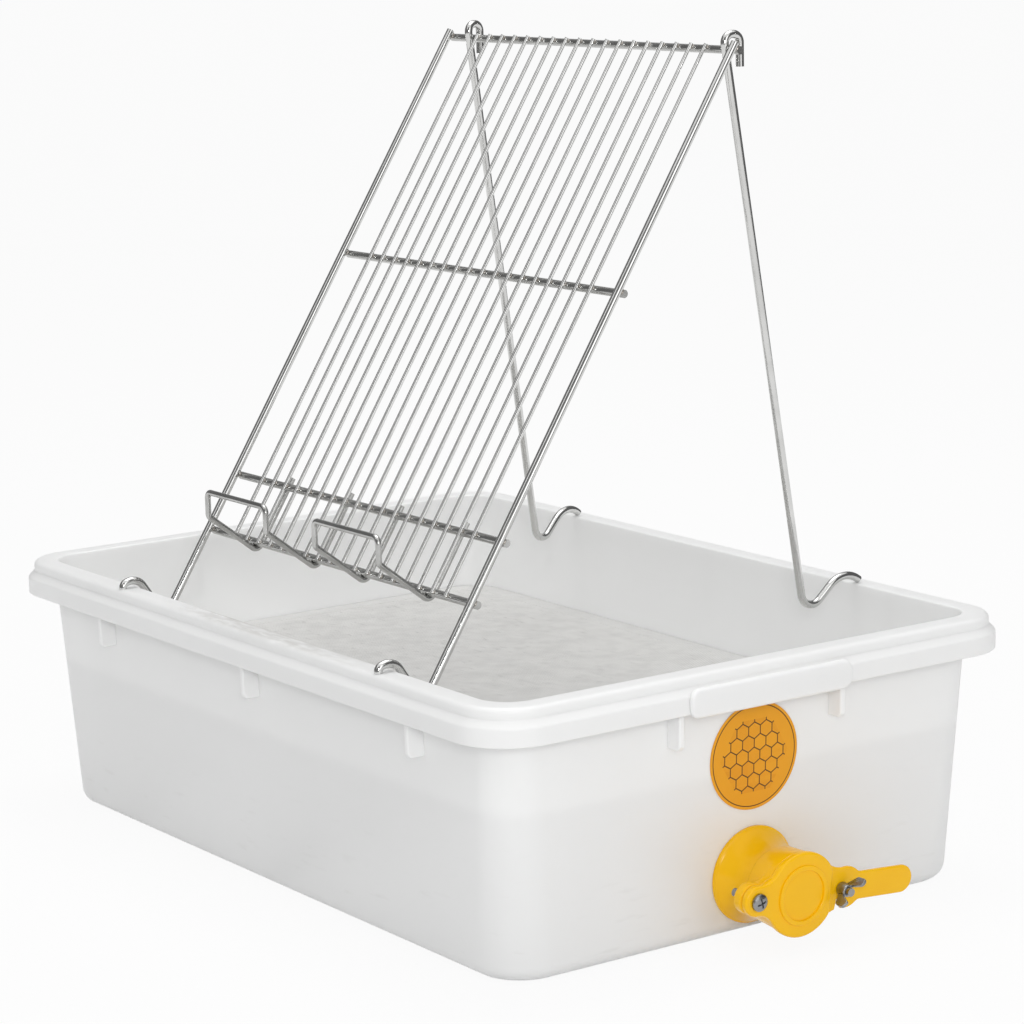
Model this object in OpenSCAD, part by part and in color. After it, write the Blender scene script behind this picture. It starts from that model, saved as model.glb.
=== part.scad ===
// Uncapping tank: moulded tub with honey gate, lift-out strainer and a hooked wire rack for comb frames.
// Millimetres, +Z up, origin at the centre of the tub's underside, honey gate on the +X end.

/* [Tub] */
// Length over the walls at the rim
tub_length = 644; // [600:1:720]
// Width over the walls at the rim
tub_width = 430.6; // [400:0.2:480]
// Height of the tub
tub_height = 200; // [180:1:240]
// Inward lean of each wall from rim to floor
wall_draft = 8.5; // [4:0.1:12]
// Wall thickness
wall_thick = 3.5; // [2.5:0.1:5]
// Floor thickness
floor_thick = 4; // [3:0.1:6]
// Outer corner radius of the walls at the rim
corner_r = 46; // [42:0.5:60]
// Radius of the rounded foot edge
foot_r = 12; // [10:0.5:15]

/* [Rim] */
// Reach of the rim beyond the wall
lip_reach = 14.5; // [12:0.1:18]
// Corner radius of the rim
lip_corner_r = 38; // [30:0.5:48]
// Thickness of the rim sheet
rim_thick = 3; // [2:0.1:4]
// Radius of the rounded top edge
lip_edge_r = 4; // [3.2:0.1:5]
// Depth of the crease below the rim's top
crease_drop = 7; // [6:0.1:8.5]
// Depth of the crease itself
crease_depth = 0.8; // [0.3:0.1:1.2]
// Depth of the skirt's upper edge below the rim's top
shoulder_drop = 13; // [11:0.1:15]
// Step of the skirt beyond the rim
skirt_step = 5; // [3.5:0.1:7]
// Depth of the skirt's lower edge below the rim's top
skirt_drop = 26; // [22:0.5:32]
// Rounding of the rim's inner edge
inner_edge_r = 1.5; // [0.5:0.1:2.5]
// Length of each grip band
grip_length = 144; // [100:1:180]
// Thickness of the grip bands in front of the skirt
grip_proud = 3; // [1:0.1:5]
// Height of the grip bands
grip_height = 21; // [17:0.5:24]
// Depth of the grip bands' lower edge below the skirt
grip_hang = 3; // [0.5:0.1:5]
// Corner radius of the grip bands
grip_corner_r = 8; // [3:0.1:8.4]
// Spacing of the hanging ribs on the long sides
rib_pitch_long = 217; // [150:1:240]
// Place of the middle ribs on the long sides, from the tub's middle
rib_shift = 9; // [-20:0.5:20]
// Spacing of the hanging ribs on the ends
rib_pitch_end = 144; // [100:1:200]
// Depth of the ribs from the wall
rib_depth = 13; // [8:0.1:13.5]
// Thickness of the ribs
rib_thick = 5; // [3:0.1:8]
// Depth of the ribs' lower edge below the rim's top
rib_drop = 53; // [40:1:70]

/* [Label] */
// Radius of the round sticker
label_r = 39; // [25:0.5:42]
// Thickness of the sticker
label_thick = 0.4; // [0.2:0.05:0.8]
// Height of the sticker's centre above the underside
label_z = 129; // [120:0.5:131]
// Sideways place of the sticker
label_y = 1.8; // [-10:0.1:10]

/* [Honey gate] */
// Height of the gate's axis above the underside
gate_z = 42.6; // [42:0.1:60]
// Sideways place of the gate
gate_y = 1.7; // [-20:0.1:20]
// Turn of the gate about its axis, in degrees
gate_turn = -4.5; // [-12:0.1:12]
// Bore of the gate
gate_bore_d = 39; // [34:0.5:40]
// Diameter of the threaded tail
tail_d = 45; // [43:0.5:46]
// Thickness of the gasket outside the wall
gasket_thick = 1; // [1:0.1:3]
// Diameter of the gasket
gasket_d = 64; // [60:0.5:70]
// Diameter of the flange
flange_d = 70.6; // [70:0.1:78]
// Thickness of the flange
flange_thick = 2; // [1.5:0.1:8]
// Diameter where the bell meets the flange
bell_d = 69; // [58:0.5:70]
// Length of the bell
bell_length = 20; // [10:0.5:26]
// Diameter of the neck
neck_d = 51; // [47:0.5:54]
// Length of the waist between the bell and the collar
waist_length = 4; // [2:0.5:6]
// Diameter of the collar behind the seat plate
collar_d = 56; // [55:0.5:57]
// Length from the wall to the seat plate
seat_reach = 42; // [34:0.5:50]
// Thickness of the seat plate
seat_thick = 8; // [6:0.1:10]
// Diameter of the seat plate
seat_d = 58; // [56:0.5:60]
// Thickness of the closing plate's disc and pivot lug
plate_thick = 6; // [4:0.1:8]
// Thickness of the closing plate's ear and lever
lever_thick = 3.6; // [2.4:0.1:3.8]
// Distance of the disc's flat beside the wing nut from the gate's axis
flat_reach = 26.3; // [24.5:0.1:28]
// Diameter of the closing plate
plate_d = 61.2; // [58:0.2:64]
// Outer diameter of the raised ring on the plate
ring_d = 43; // [40:0.2:48]
// Width of the raised ring
ring_width = 3.4; // [2:0.1:5]
// Height of the raised ring
ring_rise = 1.2; // [0.5:0.1:2]
// Distance of the pivot from the gate's axis
pivot_reach = 40; // [38:0.5:44]
// Distance of the clamp stud from the gate's axis
stud_reach = 36.5; // [33.5:0.5:38]
// Height of the pivot and lever line above the gate's axis
lever_rise = 0; // [-2:0.1:3]
// Radius of the pivot lug
lug_r = 11; // [9:0.1:15]
// Radius of the clamp ear
ear_r = 15; // [13:0.1:17]
// Distance of the clamp ear's centre from the gate's axis
ear_reach = 41.5; // [37:0.1:42]
// Radius of the seat plate's ear round the clamp stud
seat_ear_r = 9.5; // [8:0.1:12]
// Width of the lever
lever_width = 20; // [16:0.5:25]
// Distance of the lever's tip from the gate's axis
lever_reach = 103; // [80:0.5:120]
// Diameter of the pivot screw and the clamp stud
stud_d = 6; // [5:0.1:7]
// Diameter of the pivot screw's head
screw_head_d = 12.6; // [10:0.1:14]
// Height of the pivot screw's head
screw_head_h = 3.8; // [3:0.1:5]
// Length of the pivot screw under its head
screw_length = 26; // [22:0.5:36]
// Half span of the wing nut
wing_span = 14.5; // [9:0.1:16]
// Height of the wings
wing_height = 13; // [10:0.1:16]
// Thickness of the wings
wing_thick = 2; // [1.4:0.1:3]
// Turn of the wings from the lever, in degrees
wing_turn = 41; // [0:1:90]
// Height of the ring nut inside the tub
ring_nut_h = 9; // [6:0.1:14]
// Diameter of the ring nut inside the tub
ring_nut_d = 55; // [52:0.5:56]

/* [Strainer] */
// Height of the strainer's top above the underside
strainer_z = 120; // [100:1:140]
// Thickness of the strainer sheet
strainer_thick = 1.5; // [1:0.1:3]
// Depth of the turned-down edge
strainer_edge = 12; // [8:0.5:20]
// Room between the strainer and the wall
strainer_room = 1.6; // [1:0.1:4]
// Spacing of the strainer's wire feet
foot_pitch = 360; // [240:1:400]
// Span of each wire foot
foot_span = 300; // [200:1:340]
// Bend radius of the wire feet
foot_bend_r = 14; // [8:0.5:20]

/* [Rack] */
// Diameter of rails, bars, legs and feet
rod_d = 6; // [5:0.1:7]
// Diameter of the grid wires
grid_d = 3; // [2:0.1:4]
// Diameter of the comb rests' wire
rest_d = 4.5; // [4:0.1:5]
// Spacing of the rails
rail_pitch = 360.5; // [340:0.5:400]
// Sideways place of the rack
rack_shift = 11; // [0:0.5:20]
// Backward lean of the rack, in degrees
rack_lean = 32.7; // [28:0.1:36]
// Length of the rails above the rim
rail_length = 491.5; // [470:0.5:520]
// Place of the bottom bar along the rails
bottom_bar_u = 45.9; // [40:0.1:50]
// Place of the lower bar along the rails
lower_bar_u = 94; // [85:0.1:100]
// Place of the middle bar along the rails
middle_bar_u = 291.2; // [270:0.1:310]
// Distance of the top bar below the rails' ends
top_bar_drop = 3; // [2:0.1:6]
// Overhang of the bars past the rails
bar_overhang = 0.5; // [0:0.5:10]
// Overhang of the top bar past the rails
top_bar_overhang = 2; // [0:0.5:6]
// Number of grid wires
grid_count = 18; // [14:2:18]
// Spacing of the grid wires
grid_pitch = 17; // [15:0.1:17.2]
// Sideways place of the grid on the rack
grid_shift = 2; // [-2:0.5:2]
// Overhang of the grid wires past the top and bottom bars
grid_overhang = 1.5; // [0.5:0.1:2]

/* [Rail hooks] */
// Depth of the sharp bend below the rim
hook_depth = 27.6; // [22:0.2:34]
// Distance of the sharp bend from the rim's inner edge
hook_inset = 25.1; // [22:0.1:28]
// Radius of the sharp bend
hook_bend_r = 8; // [6:0.1:9]
// Lean of the arm that rises to the rim, in degrees
arm_lean = 34; // [26:0.5:36]
// Radius of the arch over the rim
arch_r = 11.5; // [10:0.1:12]
// Height of the arch above the rim
arch_rise = 7.6; // [7.2:0.1:9.5]

/* [Comb rests] */
// Width of each comb rest
rest_width = 84.6; // [70:0.2:88]
// Spacing of the comb rests' centres
rest_pitch = 152.6; // [140:0.2:170]
// Height of the stubs above the lower bar
rest_stub = 9; // [4:0.5:12]
// Forward reach of the arms from the bars
rest_reach = 48; // [40:0.5:60]
// Rise of the arms, in degrees
rest_rise = 5.2; // [0:0.1:10]
// Height of the lip
rest_lip = 19; // [14:0.5:26]
// Bend radius of the comb rests
rest_bend_r = 5; // [4:0.1:6]

/* [Legs] */
// Place of the left leg on the top bar, from the rack's middle
left_leg_x = -151.8; // [-156:0.2:-148]
// Place of the right leg on the top bar, from the rack's middle
right_leg_x = 173.4; // [164:0.2:174]
// Turn of the left leg about the vertical, in degrees
left_leg_turn = -15.5; // [-18:0.5:0]
// Turn of the right leg about the vertical, in degrees
right_leg_turn = 0.4; // [-2:0.1:2]
// Height of the crook above the top bar
crook_rise = 11.4; // [10:0.1:16]
// Depth of the crook's free end below the top bar
crook_drop = 12; // [8:0.1:16]
// Depth of the foot's bend below the rim
leg_foot_depth = 20.3; // [16:0.1:24]
// Distance of the foot's bend from the rim's inner edge
leg_foot_inset = 50.6; // [46:0.2:54]
// Radius of the foot's bend
leg_bend_r = 10.5; // [8:0.1:11]
// Lean of the foot's arm from the vertical, in degrees
leg_arm_lean = 48.7; // [46:0.1:51]
// Fall of the foot's tip, in degrees
leg_tip_fall = 37; // [32:0.5:42]
// Reach of the foot's tip past the rim's inner edge
leg_tip_reach = 2.7; // [2:0.1:4]

/* [Hidden] */
$fn = 64;
// overrun of every cut
over = 2;
// gap left at a weld or a glued face
weld_gap = 0.04;
// gap under what rests on another piece
rest_gap = 0.1;
// running clearance of a pin in its hole
pin_gap = 0.1;
// gap between faces that slide past each other
slide_gap = 0.4;
// gap round a tail in a wall
hole_gap = 0.3;
// facets of a quarter round edge
edge_steps = 8;
// lap of a wire's straight runs into its bends, and the bends' extra thickness
wire_lap = 0.4;
wire_swell = 0.06;
// straight run between two bends of one arch, and at a wire's tip
bend_flat = 1.5;
tip_flat = 0.5;

// tub
half_x = tub_length / 2;
half_y = tub_width / 2;
draft_angle = atan(wall_draft / tub_height);
lip_x = half_x + lip_reach;
lip_y = half_y + lip_reach;
inner_y = half_y - wall_thick + inner_edge_r;
white = [0.93, 0.93, 0.91];
yellow = [0.93, 0.6, 0.05];
steel = [0.7, 0.7, 0.7];
black = [0.12, 0.12, 0.12];
amber = [0.62, 0.33, 0.08];

// gate places along its own axis, from the wall's outer face
gate_x = half_x - wall_draft * (1 - gate_z / tub_height);
label_x = half_x - wall_draft * (1 - label_z / tub_height);
flange_front = gasket_thick + flange_thick;
seat_front = seat_reach + seat_thick;
plate_back = seat_front + slide_gap;
plate_front = plate_back + plate_thick;
lever_front = plate_back + lever_thick;
nut_back = -wall_thick;
tail_end = nut_back - ring_nut_h - over;
face_groove = 2;
face_ring_width = 2.4;
face_ring_d = gate_bore_d + face_ring_width;
pivot_at = [-pivot_reach, lever_rise];
stud_at = [stud_reach, lever_rise];
ear_at = [ear_reach, lever_rise];
tip_r = lever_width / 2;
tip_at = [lever_reach - tip_r, lever_rise];
// share of a lug's width taken by the web that joins it to the disc
web_share = 0.95;
nut_h = 4.5;
nut_across = 10;
stud_head_h = 2.5;
stud_head_d = 11;
stud_proud = 11;
recess_width = 1.3;
recess_depth = 1.6;
recess_share = 0.6;
hub_d = 10.5;
hub_h = 7.5;
hub_top_share = 0.8;
nut_notches = 8;
notch_width = 6;
notch_depth = 2;

// strainer
strainer_low = strainer_z - strainer_edge;
strainer_inset = wall_thick + wall_draft * (1 - strainer_low / tub_height) + strainer_room;
strainer_x = half_x - strainer_inset;
strainer_y = half_y - strainer_inset;
strainer_r = corner_r - strainer_inset;
foot_low = floor_thick + rod_d / 2 + rest_gap;
foot_high = strainer_z - strainer_thick - weld_gap;

// rack: u runs up along the rails, f runs forward out of the rack
u_dir = [0, sin(rack_lean), cos(rack_lean)];
f_dir = [0, -cos(rack_lean), sin(rack_lean)];
bend_y = -(inner_y - hook_inset);
bend_z = tub_height - hook_depth;
rail_y = bend_y + hook_depth * tan(rack_lean);
rail_base = [rack_shift, rail_y, tub_height];
top_bar_u = rail_length - top_bar_drop;
bar_back = rod_d + weld_gap;
grid_back = bar_back - rod_d / 2 - grid_d / 2 - weld_gap;
top_bar = on_rack(0, -bar_back, top_bar_u);
rail_half = rail_pitch / 2;
// arch of the rails' hooks: the arm meets the arch, which turns in two even bends down onto the rim
arch_turn = (180 - arm_lean) / 2;
arch_fall = 90 - arch_turn;
arch_tan = arch_r * tan(arch_turn / 2);
arch_first_z = tub_height + arch_rise;
arch_first = [0, bend_y - (arch_first_z - bend_z) * tan(arm_lean), arch_first_z];
hook_tip_z = tub_height + rest_gap;
tip_tan = (arch_rise - rest_gap - tip_flat - (arch_tan + bend_flat) * sin(arch_fall)) / (1 + sin(arch_fall));
tip_bend_r = tip_tan / tan(arch_turn / 2);
arch_second = arch_first - [0, cos(arch_fall), sin(arch_fall)] * (arch_tan + bend_flat + tip_tan);

// comb rests wrap the bottom bar
wrap_r = rod_d / 2 + rest_d / 2 + weld_gap;
rest_leg_f = -bar_back - wrap_r;
rest_low_u = bottom_bar_u - wrap_r * (1 / cos(rest_rise) + tan(rest_rise));
rest_front_f = rest_reach - bar_back;
rest_front_u = bottom_bar_u - wrap_r / cos(rest_rise) + rest_reach * tan(rest_rise);
rest_top_u = lower_bar_u + rest_stub;

// legs: h runs from the top bar towards the rear rim in each leg's own plane
bar_play = 0.5;
leg_offset = rod_d + bar_play;
leg_bend_y = inner_y - leg_foot_inset - top_bar[1];
leg_bend_z = tub_height - leg_foot_depth - top_bar[2];
leg_tip_y = inner_y + leg_tip_reach - top_bar[1];
rim_top = tub_height - top_bar[2];

function wire_name(i) = str("grid_wire_", i < 10 ? "0" : "", i);
function on_rack(x, f, u) = rail_base + [x, 0, 0] + f_dir * f + u_dir * u;
function unit(v) = v / norm(v);
function turn(a, b) = acos(max(-1, min(1, a * b)));
function dirs(p) = [for (i = [0 : len(p) - 2]) unit(p[i + 1] - p[i])];
function tangent(p, r, i) = i == 0 || i == len(p) - 1 ? 0
    : r[i] * tan(turn(dirs(p)[i - 1], dirs(p)[i]) / 2);
function arc(c, r, a, b) = [for (i = [0 : edge_steps]) let (t = a + (b - a) * i / edge_steps)
    c + r * [cos(t), sin(t)]];
function rounded(x, y, r) = concat(
    arc([x - r, y - r], r, 0, 90), arc([r - x, y - r], r, 90, 180),
    arc([r - x, r - y], r, 180, 270), arc([x - r, r - y], r, 270, 360)
);
// distance of the wall's outer face from its place at the rim, at height z
function lean(z) = -wall_draft * (1 - z / tub_height);

// a straight run starts at a and follows d
module along(a, d) {
    side = abs(d[2]) > 0.9 ? [1, 0, 0] : [0, 0, 1];
    u = unit(cross(side, d));
    w = cross(d, u);
    multmatrix([
        [u[0], w[0], d[0], a[0]],
        [u[1], w[1], d[1], a[1]],
        [u[2], w[2], d[2], a[2]],
        [0, 0, 0, 1]
    ]) children();
}

// round wire along points p with bend radii r
module wire(p, r, d) {
    dd = dirs(p);
    union() {
        for (i = [0 : len(p) - 2]) {
            s = p[i] + dd[i] * (tangent(p, r, i) - (i == 0 ? 0 : wire_lap));
            e = p[i + 1] - dd[i] * (tangent(p, r, i + 1) - (i == len(p) - 2 ? 0 : wire_lap));
            along(s, dd[i]) cylinder(h = norm(e - s), d = d);
        }
        for (i = [1 : len(p) - 2]) {
            n = unit(cross(dd[i - 1], dd[i]));
            y = dd[i - 1];
            x = cross(y, n);
            c = p[i] - y * tangent(p, r, i) - x * r[i];
            multmatrix([
                [x[0], y[0], n[0], c[0]],
                [x[1], y[1], n[1], c[1]],
                [x[2], y[2], n[2], c[2]],
                [0, 0, 0, 1]
            ])
                rotate_extrude(angle = turn(dd[i - 1], dd[i]))
                    translate([r[i], 0])
                        circle(d = d + wire_swell);
        }
    }
}

// solid of rounded rectangular plan whose side follows an edge given bottom to top, as [offset, z]
module tray(x, y, r, edge) {
    last = len(edge) - 1;
    half = concat([[0, edge[0][1]]], [for (p = edge) [r + p[0], p[1]]], [[0, edge[last][1]]]);
    union() {
        for (k = [0 : 3]) {
            sx = k == 0 || k == 3 ? 1 : -1;
            sy = k < 2 ? 1 : -1;
            reach = k % 2 == 0 ? x : y;
            run = k % 2 == 0 ? y : x;
            translate([sx * (x - r), sy * (y - r), 0])
                rotate([0, 0, 90 * k])
                    rotate_extrude(angle = 90)
                        polygon(half);
            rotate([0, 0, 90 * k])
                translate([reach - r, 0, 0])
                    rotate([90, 0, 0])
                        linear_extrude(height = 2 * (run - r), center = true)
                            polygon(half);
        }
        translate([r - x, r - y, edge[0][1]])
            cube([2 * (x - r), 2 * (y - r), edge[last][1] - edge[0][1]]);
    }
}

// rib that hangs between wall and skirt at distance d from the middle, profile facing +X
module rib(d) {
    low = tub_height - rib_drop;
    high = tub_height - rim_thick / 2;
    root = -wall_thick / 2;
    rotate([90, 0, 0])
        linear_extrude(height = rib_thick, center = true)
            polygon([
                [d + lean(low) + root, low],
                [d + lean(low) + rib_depth, low],
                [d + lean(low) + rib_depth, high],
                [d + lean(high) + root, high]
            ]);
}

module rim() {
    crease_z = tub_height - crease_drop;
    shoulder_z = tub_height - shoulder_drop;
    skirt_z = tub_height - skirt_drop;
    under = skirt_step - rim_thick;
    difference() {
        tray(lip_x, lip_y, lip_corner_r, concat(
            [[skirt_step, skirt_z], [skirt_step, shoulder_z], [0, crease_z - crease_depth]],
            [[-crease_depth, crease_z], [0, crease_z + crease_depth]],
            arc([-lip_edge_r, tub_height - lip_edge_r], lip_edge_r, 0, 90)
        ));
        tray(lip_x, lip_y, lip_corner_r, [
            [under, skirt_z - over],
            [under, shoulder_z - rim_thick / 2],
            [-rim_thick - crease_depth, crease_z - rim_thick / 2],
            [-rim_thick - crease_depth, tub_height - rim_thick]
        ]);
    }
}

module grip_band() {
    low = tub_height - skirt_drop - grip_hang;
    translate([lip_x + skirt_step - rim_thick / 2, 0, low + grip_height / 2])
        rotate([90, 0, 90])
            linear_extrude(height = grip_proud + rim_thick / 2)
                polygon(rounded(grip_length / 2, grip_height / 2, grip_corner_r));
}

module tub() {
    inner_r = foot_r - wall_thick;
    top = tub_height;
    color(white)
        difference() {
            union() {
                tray(half_x, half_y, corner_r, concat(
                    arc([lean(foot_r) - foot_r / cos(draft_angle), foot_r], foot_r, -90, -draft_angle),
                    [[lean(top - rim_thick / 2), top - rim_thick / 2]]
                ));
                rim();
                for (k = [0 : 1]) {
                    rotate([0, 0, 180 * k]) grip_band();
                    for (j = [-1 : 2 : 1])
                        rotate([0, 0, 180 * k])
                            translate([0, j * rib_pitch_end / 2, 0])
                                rib(half_x);
                    for (j = [-1 : 1])
                        translate([rib_shift, 0, 0])
                            rotate([0, 0, 90 + 180 * k])
                                translate([0, j * rib_pitch_long, 0])
                                    rib(half_y);
                }
            }
            tray(half_x - wall_thick, half_y - wall_thick, corner_r - wall_thick, concat(
                arc([lean(floor_thick + inner_r) - inner_r / cos(draft_angle), floor_thick + inner_r],
                    inner_r, -90, -draft_angle),
                [[lean(top - inner_edge_r), top - inner_edge_r]],
                [[inner_edge_r / 4, top - inner_edge_r / 4], [inner_edge_r, top]],
                [[inner_edge_r, top + over]]
            ));
            at_gate(0)
                translate([0, 0, -wall_thick - over])
                    cylinder(h = wall_thick + 2 * over, d = tail_d + 2 * hole_gap);
        }
}

// the end wall's own frame at a point of its outer face: x sideways, y up the wall, z out of the wall
module on_wall(x, y, z) {
    s = sin(draft_angle);
    c = cos(draft_angle);
    multmatrix([[0, s, c, x], [1, 0, 0, y], [0, c, -s, z], [0, 0, 0, 1]]) children();
}

module at_gate(a) {
    on_wall(gate_x, gate_y, gate_z) rotate([0, 0, a]) children();
}

module label_disc() {
    color(amber)
        on_wall(label_x, label_y, label_z)
            translate([0, 0, weld_gap])
                cylinder(h = label_thick, r = label_r);
}

// web from a point on the lever line to the disc
module web(a, r) {
    translate([min(a[0], 0), a[1] - r * web_share])
        square([abs(a[0]), 2 * r * web_share]);
}

module seat_outline() {
    union() {
        circle(d = seat_d);
        translate(pivot_at) circle(r = lug_r);
        web(pivot_at, lug_r);
        translate(stud_at) circle(r = seat_ear_r);
        web(stud_at, seat_ear_r);
    }
}

module gate_body() {
    bell_end = flange_front + bell_length;
    bell_r = bell_d / 2;
    neck_r = neck_d / 2;
    shoulder = collar_d / 2 - neck_r;
    collar_back = bell_end + waist_length;
    color(yellow)
        at_gate(gate_turn)
            difference() {
                union() {
                    rotate_extrude()
                        polygon(concat(
                            [[0, tail_end], [tail_d / 2, tail_end], [tail_d / 2, gasket_thick + weld_gap]],
                            [[flange_d / 2, gasket_thick + weld_gap], [flange_d / 2, flange_front]],
                            [for (i = [0 : edge_steps]) let (t = i / edge_steps)
                                [neck_r + (bell_r - neck_r) * pow(1 - t, 2), flange_front + bell_length * t]],
                            arc([neck_r, collar_back + shoulder], shoulder, -90, 0),
                            [[collar_d / 2, seat_reach + over], [0, seat_reach + over]]
                        ));
                    translate([0, 0, seat_reach])
                        linear_extrude(height = seat_thick)
                            seat_outline();
                }
                translate([0, 0, tail_end - over])
                    cylinder(h = seat_front - tail_end + 2 * over, d = gate_bore_d);
                translate([0, 0, seat_front - face_groove])
                    cylinder(h = face_groove + over, d = face_ring_d + 2 * face_ring_width);
                translate([pivot_at[0], pivot_at[1], seat_reach - over])
                    cylinder(h = seat_thick + 2 * over, d = stud_d + 2 * pin_gap);
                translate([stud_at[0], stud_at[1], seat_reach - over])
                    cylinder(h = seat_thick + 2 * over, d = stud_d + 2 * pin_gap);
            }
}

module gate_gasket() {
    color(black)
        at_gate(gate_turn)
            translate([0, 0, weld_gap])
                difference() {
                    cylinder(h = gasket_thick - weld_gap, d = gasket_d);
                    translate([0, 0, -over])
                        cylinder(h = gasket_thick + 2 * over, d = tail_d + 2 * hole_gap);
                }
}

module gate_ring_nut() {
    color(yellow)
        at_gate(gate_turn)
            translate([0, 0, nut_back - ring_nut_h])
                difference() {
                    cylinder(h = ring_nut_h - weld_gap, d = ring_nut_d);
                    translate([0, 0, -over])
                        cylinder(h = ring_nut_h + 2 * over, d = tail_d + 2 * pin_gap);
                    for (i = [1 : nut_notches])
                        rotate([0, 0, 360 * i / nut_notches])
                            translate([ring_nut_d / 2 - notch_depth, -notch_width / 2, -over])
                                cube([notch_depth + over, notch_width, ring_nut_h + 2 * over]);
                }
}

module gate_face_ring() {
    outer_d = face_ring_d + 2 * face_ring_width - 2 * weld_gap;
    color(black)
        at_gate(gate_turn)
            translate([0, 0, seat_front - face_groove + weld_gap])
                difference() {
                    cylinder(h = face_groove + pin_gap - weld_gap, d = outer_d);
                    translate([0, 0, -over])
                        cylinder(h = face_groove + 2 * over, d = face_ring_d);
                }
}

module gate_plate() {
    slot_r = norm(stud_at - pivot_at);
    slot_half = stud_d / 2 + slide_gap;
    color(yellow)
        at_gate(gate_turn)
            difference() {
                union() {
                    translate([0, 0, plate_back])
                        linear_extrude(height = plate_thick)
                            union() {
                                intersection() {
                                    circle(d = plate_d);
                                    translate([-plate_d, -plate_d])
                                        square([plate_d + flat_reach, 2 * plate_d]);
                                }
                                translate(pivot_at) circle(r = lug_r);
                                web(pivot_at, lug_r);
                            }
                    translate([0, 0, plate_back])
                        linear_extrude(height = lever_thick)
                            union() {
                                circle(d = plate_d);
                                translate(ear_at) circle(r = ear_r);
                                web(ear_at, ear_r);
                                translate(tip_at) circle(r = tip_r);
                                web(tip_at, tip_r);
                            }
                    translate([0, 0, plate_front - ring_rise])
                        difference() {
                            cylinder(h = 2 * ring_rise, d = ring_d);
                            cylinder(h = 2 * ring_rise + over, d = ring_d - 2 * ring_width);
                        }
                }
                translate([pivot_at[0], pivot_at[1], plate_back - over])
                    cylinder(h = plate_thick + 2 * over, d = stud_d + 2 * pin_gap);
                translate([stud_at[0], stud_at[1], plate_back - over])
                    cylinder(h = plate_thick + 2 * over, r = slot_half);
                translate([pivot_at[0], pivot_at[1], plate_back - over])
                    rotate([0, 0, -45])
                        rotate_extrude(angle = 45)
                            translate([slot_r - slot_half, 0])
                                square([2 * slot_half, plate_thick + 2 * over]);
            }
}

module pivot_screw() {
    head_z = plate_front + slide_gap;
    end_z = head_z - screw_length;
    head_r = screw_head_d / 2;
    color(steel)
        at_gate(gate_turn)
            translate([pivot_at[0], pivot_at[1], 0])
                difference() {
                    rotate_extrude()
                        polygon(concat(
                            [[0, end_z], [stud_d / 2, end_z]],
                            [[stud_d / 2, head_z], [head_r, head_z], [head_r, head_z + screw_head_h / 3]],
                            [for (i = [1 : edge_steps]) let (t = 90 * i / edge_steps)
                                [head_r * cos(t), head_z + screw_head_h / 3 + screw_head_h * 2 / 3 * sin(t)]]
                        ));
                    for (a = [20, 110])
                        translate([0, 0, head_z + screw_head_h - recess_depth + over])
                            rotate([0, 0, a])
                                cube([screw_head_d * recess_share, recess_width, 2 * over], center = true);
                }
}

module pivot_nut() {
    color(steel)
        at_gate(gate_turn)
            translate([pivot_at[0], pivot_at[1], seat_reach - nut_h - weld_gap])
                difference() {
                    cylinder(h = nut_h, d = nut_across / cos(30), $fn = 6);
                    translate([0, 0, -over])
                        cylinder(h = nut_h + 2 * over, d = stud_d + 2 * pin_gap);
                }
}

module clamp_stud() {
    color(steel)
        at_gate(gate_turn)
            translate([stud_at[0], stud_at[1], 0])
                union() {
                    translate([0, 0, seat_reach - stud_head_h - weld_gap])
                        cylinder(h = stud_head_h, d = stud_head_d);
                    translate([0, 0, seat_reach - stud_head_h])
                        cylinder(h = lever_front + stud_proud - seat_reach + stud_head_h, d = stud_d);
                }
}

module wing_nut() {
    low = hub_h / 3;
    color(steel)
        at_gate(gate_turn + wing_turn)
            rotate([0, 0, -wing_turn])
                translate([stud_at[0], stud_at[1], lever_front + slide_gap])
                    rotate([0, 0, wing_turn])
                        difference() {
                            union() {
                                cylinder(h = hub_h, d1 = hub_d, d2 = hub_d * hub_top_share);
                                for (k = [0 : 1])
                                    rotate([90, 0, 180 * k])
                                        linear_extrude(height = wing_thick, center = true)
                                            polygon(concat(
                                                [[0, low / 2], [hub_d / 2, low]],
                                                arc([wing_span - low, wing_height - low], low, -30, 150),
                                                [[hub_d * hub_top_share / 2, hub_h * hub_top_share]],
                                                [[0, hub_h * hub_top_share]]
                                            ));
                            }
                            translate([0, 0, -over])
                                cylinder(h = wing_height + 2 * over, d = stud_d + 2 * pin_gap);
                        }
}

module strainer_sheet() {
    color(steel)
        difference() {
            tray(strainer_x, strainer_y, strainer_r, [[0, strainer_low], [0, strainer_z]]);
            tray(strainer_x - strainer_thick, strainer_y - strainer_thick, strainer_r - strainer_thick,
                [[0, strainer_low - over], [0, strainer_z - strainer_thick]]);
        }
}

module strainer_foot(k) {
    x = k * foot_pitch / 2;
    y = foot_span / 2;
    color(steel)
        wire([[x, -y, foot_high], [x, -y, foot_low], [x, y, foot_low], [x, y, foot_high]],
            [0, foot_bend_r, foot_bend_r, 0], rod_d);
}

module rail(k) {
    x = rack_shift + k * rail_half;
    shift = [x, 0, 0];
    color(steel)
        wire([
            on_rack(k * rail_half, 0, rail_length),
            [x, bend_y, bend_z],
            arch_first + shift,
            arch_second + shift,
            [x, arch_second[1], hook_tip_z]
        ], [0, hook_bend_r, arch_r, tip_bend_r, 0], rod_d);
}

module bar(u, overhang) {
    length = rail_pitch + 2 * overhang;
    color(steel)
        along(on_rack(-length / 2, -bar_back, u), [1, 0, 0])
            cylinder(h = length, d = rod_d);
}

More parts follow.
